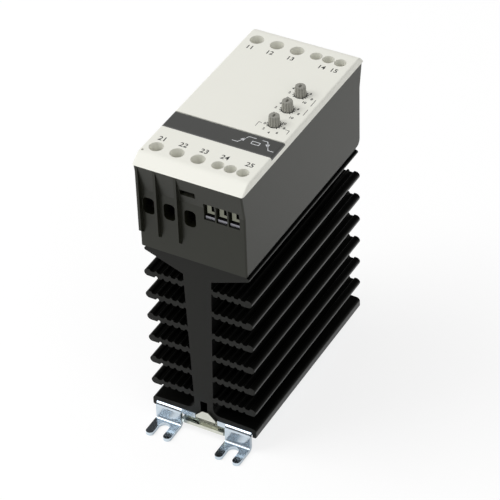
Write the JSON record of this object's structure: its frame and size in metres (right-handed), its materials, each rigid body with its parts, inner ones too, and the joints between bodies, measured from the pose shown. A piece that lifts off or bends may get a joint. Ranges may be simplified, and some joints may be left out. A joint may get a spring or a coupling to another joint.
{
  "type": "solid state relay",
  "caption": "Tall narrow solid state relay: ivory front with dials and screw holes over a black housing, a finned heatsink and a forked steel bracket for rail or panel.",
  "frame": {"origin": "middle of the module on the underside of the feet, at Z = 0", "axes": "+Z away from the wall to the front cover, X across the 45 mm width, Y along the module; the forked feet and the load terminals are at -Y, the dials are on the +X side"},
  "size_m": [0.045, 0.109, 0.1299],
  "materials": {
    "black_anodised": "black anodised",
    "housing_plastic": "fine matt",
    "cover_plastic": "fine matt",
    "stripe_film": "satin",
    "knob_plastic": "fine matt",
    "zinc_sheet": "bright zinc",
    "latch_sheet": "bright zinc",
    "spring_steel": "bright",
    "screw_steel": "bright zinc",
    "cage_steel": "passivated",
    "brass_strip": "bright",
    "tinned_brass": "tinned",
    "pad_silicone": "matt",
    "black_epoxy": "matt",
    "bar_steel": "bright",
    "board_laminate": "solder resist",
    "varistor_coating": "dipped",
    "film_case": "moulded",
    "resistor_body": "cement",
    "coupler_body": "moulded",
    "connector_plastic": "moulded",
    "trimmer_case": "moulded",
    "transformer_core": "ferrite",
    "capacitor_sleeve": "sleeve",
    "relay_case": "moulded",
    "lamp_lens": "clear tinted"
  },
  "bodies": {
    "module": {"heatsink": "black_anodised", "housing": "housing_plastic", "front_cover": "cover_plastic", "stripe_window": "stripe_film", "mounting_bracket": "zinc_sheet", "bracket_screws": "screw_steel", "latch_spring": "spring_steel", "thermal_pad": "pad_silicone", "power_semiconductors": "black_epoxy", "clamp_bar": "bar_steel", "bar_screws": "screw_steel", "housing_screws": "screw_steel", "power_board": "board_laminate", "varistors": "varistor_coating", "snubber_capacitors": "film_case", "snubber_resistors": "resistor_body", "optocouplers": "coupler_body", "board_connector": "connector_plastic", "control_board": "board_laminate", "trimmer_bodies": "trimmer_case", "controller_chip": "black_epoxy", "supply_transformer": "transformer_core", "smoothing_capacitors": "capacitor_sleeve", "signal_relay": "relay_case", "status_leds": "lamp_lens", "near_busbars": "brass_strip", "far_busbars": "brass_strip", "near_control_contacts": "tinned_brass", "far_control_contacts": "tinned_brass"},
    "near_power_screw_1": {"near_power_screw_1": "screw_steel"},
    "near_power_clamp_1": {"near_power_clamp_1": "cage_steel"},
    "near_power_screw_2": {"near_power_screw_2": "screw_steel"},
    "near_power_clamp_2": {"near_power_clamp_2": "cage_steel"},
    "near_power_screw_3": {"near_power_screw_3": "screw_steel"},
    "near_power_clamp_3": {"near_power_clamp_3": "cage_steel"},
    "near_control_screw_1": {"near_control_screw_1": "screw_steel"},
    "near_control_clamp_1": {"near_control_clamp_1": "cage_steel"},
    "near_control_screw_2": {"near_control_screw_2": "screw_steel"},
    "near_control_clamp_2": {"near_control_clamp_2": "cage_steel"},
    "near_control_screw_3": {"near_control_screw_3": "screw_steel"},
    "near_control_clamp_3": {"near_control_clamp_3": "cage_steel"},
    "far_power_screw_1": {"far_power_screw_1": "screw_steel"},
    "far_power_clamp_1": {"far_power_clamp_1": "cage_steel"},
    "far_power_screw_2": {"far_power_screw_2": "screw_steel"},
    "far_power_clamp_2": {"far_power_clamp_2": "cage_steel"},
    "far_power_screw_3": {"far_power_screw_3": "screw_steel"},
    "far_power_clamp_3": {"far_power_clamp_3": "cage_steel"},
    "far_control_screw_1": {"far_control_screw_1": "screw_steel"},
    "far_control_clamp_1": {"far_control_clamp_1": "cage_steel"},
    "far_control_screw_2": {"far_control_screw_2": "screw_steel"},
    "far_control_clamp_2": {"far_control_clamp_2": "cage_steel"},
    "far_control_screw_3": {"far_control_screw_3": "screw_steel"},
    "far_control_clamp_3": {"far_control_clamp_3": "cage_steel"},
    "trimmer_knob_1": {"trimmer_knob_1": "knob_plastic"},
    "trimmer_knob_2": {"trimmer_knob_2": "knob_plastic"},
    "trimmer_knob_3": {"trimmer_knob_3": "knob_plastic"},
    "rail_latch": {"rail_latch": "latch_sheet"}
  },
  "joints": [
    {"name": "near_power_screw_1_turn", "type": "hinge", "parent": "module", "child": "near_power_screw_1", "pos_m": [-0.0175, -0.0377, 0.112], "axis": [0, 0, -1], "range_deg": [-5, 2256]},
    {"name": "near_power_clamp_1_lift", "type": "slide", "parent": "module", "child": "near_power_clamp_1", "axis": [0, 0, 1], "range_m": [0, 0.00438]},
    {"name": "near_power_screw_2_turn", "type": "hinge", "parent": "module", "child": "near_power_screw_2", "pos_m": [-0.009, -0.0377, 0.112], "axis": [0, 0, -1], "range_deg": [-5, 2256]},
    {"name": "near_power_clamp_2_lift", "type": "slide", "parent": "module", "child": "near_power_clamp_2", "axis": [0, 0, 1], "range_m": [0, 0.00438]},
    {"name": "near_power_screw_3_turn", "type": "hinge", "parent": "module", "child": "near_power_screw_3", "pos_m": [-0.0005, -0.0377, 0.112], "axis": [0, 0, -1], "range_deg": [-5, 2256]},
    {"name": "near_power_clamp_3_lift", "type": "slide", "parent": "module", "child": "near_power_clamp_3", "axis": [0, 0, 1], "range_m": [0, 0.00438]},
    {"name": "near_control_screw_1_turn", "type": "hinge", "parent": "module", "child": "near_control_screw_1", "pos_m": [0.0075, -0.0377, 0.112], "axis": [0, 0, -1], "range_deg": [-1446, 222]},
    {"name": "near_control_clamp_1_lift", "type": "slide", "parent": "module", "child": "near_control_clamp_1", "axis": [0, 0, 1], "range_m": [-0.002, 0.0003]},
    {"name": "near_control_screw_2_turn", "type": "hinge", "parent": "module", "child": "near_control_screw_2", "pos_m": [0.0125, -0.0377, 0.112], "axis": [0, 0, -1], "range_deg": [-1446, 222]},
    {"name": "near_control_clamp_2_lift", "type": "slide", "parent": "module", "child": "near_control_clamp_2", "axis": [0, 0, 1], "range_m": [-0.002, 0.0003]},
    {"name": "near_control_screw_3_turn", "type": "hinge", "parent": "module", "child": "near_control_screw_3", "pos_m": [0.0175, -0.0377, 0.112], "axis": [0, 0, -1], "range_deg": [-1446, 222]},
    {"name": "near_control_clamp_3_lift", "type": "slide", "parent": "module", "child": "near_control_clamp_3", "axis": [0, 0, 1], "range_m": [-0.002, 0.0003]},
    {"name": "far_power_screw_1_turn", "type": "hinge", "parent": "module", "child": "far_power_screw_1", "pos_m": [-0.0175, 0.0377, 0.112], "axis": [0, 0, -1], "range_deg": [-5, 2256]},
    {"name": "far_power_clamp_1_lift", "type": "slide", "parent": "module", "child": "far_power_clamp_1", "axis": [0, 0, 1], "range_m": [0, 0.00438]},
    {"name": "far_power_screw_2_turn", "type": "hinge", "parent": "module", "child": "far_power_screw_2", "pos_m": [-0.009, 0.0377, 0.112], "axis": [0, 0, -1], "range_deg": [-5, 2256]},
    {"name": "far_power_clamp_2_lift", "type": "slide", "parent": "module", "child": "far_power_clamp_2", "axis": [0, 0, 1], "range_m": [0, 0.00438]},
    {"name": "far_power_screw_3_turn", "type": "hinge", "parent": "module", "child": "far_power_screw_3", "pos_m": [-0.0005, 0.0377, 0.112], "axis": [0, 0, -1], "range_deg": [-5, 2256]},
    {"name": "far_power_clamp_3_lift", "type": "slide", "parent": "module", "child": "far_power_clamp_3", "axis": [0, 0, 1], "range_m": [0, 0.00438]},
    {"name": "far_control_screw_1_turn", "type": "hinge", "parent": "module", "child": "far_control_screw_1", "pos_m": [0.0075, 0.0377, 0.112], "axis": [0, 0, -1], "range_deg": [-1446, 222]},
    {"name": "far_control_clamp_1_lift", "type": "slide", "parent": "module", "child": "far_control_clamp_1", "axis": [0, 0, 1], "range_m": [-0.002, 0.0003]},
    {"name": "far_control_screw_2_turn", "type": "hinge", "parent": "module", "child": "far_control_screw_2", "pos_m": [0.0125, 0.0377, 0.112], "axis": [0, 0, -1], "range_deg": [-1446, 222]},
    {"name": "far_control_clamp_2_lift", "type": "slide", "parent": "module", "child": "far_control_clamp_2", "axis": [0, 0, 1], "range_m": [-0.002, 0.0003]},
    {"name": "far_control_screw_3_turn", "type": "hinge", "parent": "module", "child": "far_control_screw_3", "pos_m": [0.0175, 0.0377, 0.112], "axis": [0, 0, -1], "range_deg": [-1446, 222]},
    {"name": "far_control_clamp_3_lift", "type": "slide", "parent": "module", "child": "far_control_clamp_3", "axis": [0, 0, 1], "range_m": [-0.002, 0.0003]},
    {"name": "trimmer_knob_1_turn", "type": "hinge", "parent": "module", "child": "trimmer_knob_1", "pos_m": [0.0138, -0.0073, 0.1275], "axis": [0, 0, -1], "range_deg": [-135, 135]},
    {"name": "trimmer_knob_2_turn", "type": "hinge", "parent": "module", "child": "trimmer_knob_2", "pos_m": [0.0138, 0.00285, 0.1275], "axis": [0, 0, -1], "range_deg": [-135, 135]},
    {"name": "trimmer_knob_3_turn", "type": "hinge", "parent": "module", "child": "trimmer_knob_3", "pos_m": [0.0138, 0.013, 0.1275], "axis": [0, 0, -1], "range_deg": [-135, 135]},
    {"name": "rail_latch_pull", "type": "slide", "parent": "module", "child": "rail_latch", "axis": [0, -1, 0], "range_m": [0, 0.003], "stiffness_N_per_m": 2500, "springref_m": -0.001, "deforming": ["latch_spring"]}
  ],
  "couplings": [
    {"joint": "near_power_screw_1_turn", "follows": "near_power_clamp_1_lift", "rad_per_m": 8976},
    {"joint": "near_power_screw_2_turn", "follows": "near_power_clamp_2_lift", "rad_per_m": 8976},
    {"joint": "near_power_screw_3_turn", "follows": "near_power_clamp_3_lift", "rad_per_m": 8976},
    {"joint": "near_control_screw_1_turn", "follows": "near_control_clamp_1_lift", "rad_per_m": 12566},
    {"joint": "near_control_screw_2_turn", "follows": "near_control_clamp_2_lift", "rad_per_m": 12566},
    {"joint": "near_control_screw_3_turn", "follows": "near_control_clamp_3_lift", "rad_per_m": 12566},
    {"joint": "far_power_screw_1_turn", "follows": "far_power_clamp_1_lift", "rad_per_m": 8976},
    {"joint": "far_power_screw_2_turn", "follows": "far_power_clamp_2_lift", "rad_per_m": 8976},
    {"joint": "far_power_screw_3_turn", "follows": "far_power_clamp_3_lift", "rad_per_m": 8976},
    {"joint": "far_control_screw_1_turn", "follows": "far_control_clamp_1_lift", "rad_per_m": 12566},
    {"joint": "far_control_screw_2_turn", "follows": "far_control_clamp_2_lift", "rad_per_m": 12566},
    {"joint": "far_control_screw_3_turn", "follows": "far_control_clamp_3_lift", "rad_per_m": 12566}
  ]
}
